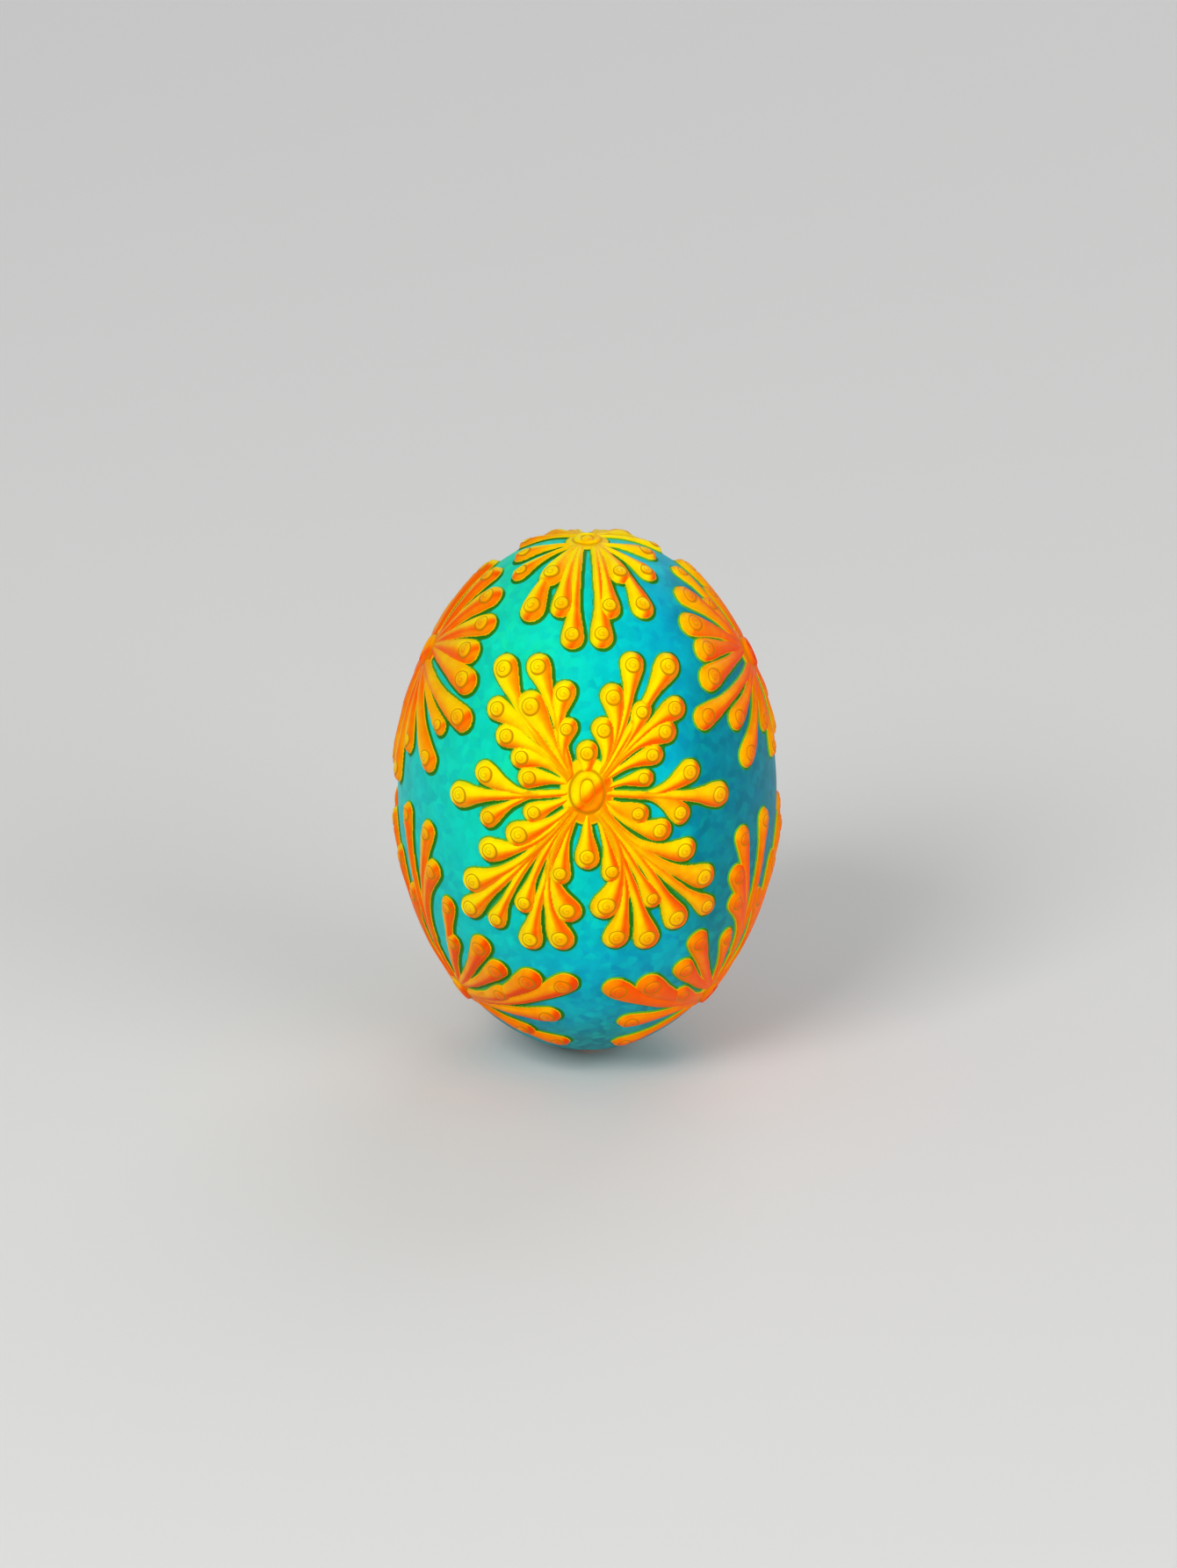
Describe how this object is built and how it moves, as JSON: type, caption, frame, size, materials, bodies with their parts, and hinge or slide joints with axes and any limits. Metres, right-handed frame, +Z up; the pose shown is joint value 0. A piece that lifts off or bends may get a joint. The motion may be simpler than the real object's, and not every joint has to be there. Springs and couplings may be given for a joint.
{
  "type": "wax relief decorated egg",
  "caption": "Blown hen's egg on its broad end, dyed turquoise and covered with rosettes of teardrop strokes pulled in coloured wax.",
  "frame": {"origin": "on the egg's long axis at its lowest point, under the wax seal, where an egg cup holds it", "axes": "+Z up along the long axis to the narrow end, -Y out of the large front rosette, +X to its right"},
  "size_m": [0.0458, 0.046, 0.0641],
  "materials": {
    "dyed_shell": "turquoise dye over the pores of an eggshell, satin varnish",
    "golden_wax": "golden yellow pulled wax shading to orange, satin",
    "orange_wax": "orange pulled wax shading to red orange, satin"
  },
  "bodies": {
    "root": {"back_boss": "golden_wax", "back_crown_drop": "golden_wax", "back_left_arm": "golden_wax", "back_left_lower_drop": "golden_wax", "back_lower_drop": "golden_wax", "back_lower_left_plume": "golden_wax", "back_lower_right_plume": "golden_wax", "back_right_arm": "golden_wax", "back_right_lower_pair": "golden_wax", "back_right_upper_drop": "golden_wax", "back_upper_left_plume": "golden_wax", "back_upper_right_plume": "golden_wax", "blow_hole_seal": "orange_wax", "eggshell": "dyed_shell", "front_boss": "golden_wax", "front_crown_drop": "golden_wax", "front_left_arm": "golden_wax", "front_left_lower_drop": "golden_wax", "front_lower_drop": "golden_wax", "front_lower_left_plume": "golden_wax", "front_lower_right_plume": "golden_wax", "front_right_arm": "golden_wax", "front_right_lower_pair": "golden_wax", "front_right_upper_drop": "golden_wax", "front_upper_left_plume": "golden_wax", "front_upper_right_plume": "golden_wax", "left_back_lower_plume": "orange_wax", "left_back_upper_plume": "orange_wax", "left_boss": "orange_wax", "left_front_lower_plume": "orange_wax", "left_front_upper_plume": "orange_wax", "lower_back_boss": "orange_wax", "lower_back_left_lower_plume": "orange_wax", "lower_back_left_upper_plume": "orange_wax", "lower_back_right_lower_plume": "orange_wax", "lower_back_right_upper_plume": "orange_wax", "lower_back_top_drop": "orange_wax", "lower_left_back_lower_plume": "orange_wax", "lower_left_back_sprig": "orange_wax", "lower_left_boss": "orange_wax", "lower_left_front_lower_plume": "orange_wax", "lower_left_front_upper_plume": "orange_wax", "lower_left_tall_sprig": "orange_wax", "lower_right_back_lower_plume": "orange_wax", "lower_right_back_sprig": "orange_wax", "lower_right_boss": "orange_wax", "lower_right_front_lower_plume": "orange_wax", "lower_right_front_upper_plume": "orange_wax", "lower_right_tall_sprig": "orange_wax", "right_back_lower_plume": "orange_wax", "right_back_upper_plume": "orange_wax", "right_boss": "orange_wax", "right_front_lower_plume": "orange_wax", "right_front_upper_plume": "orange_wax", "top_back_left_plume": "golden_wax", "top_back_right_plume": "golden_wax", "top_boss": "golden_wax", "top_front_left_plume": "golden_wax", "top_front_right_plume": "golden_wax"}
  },
  "joints": []
}
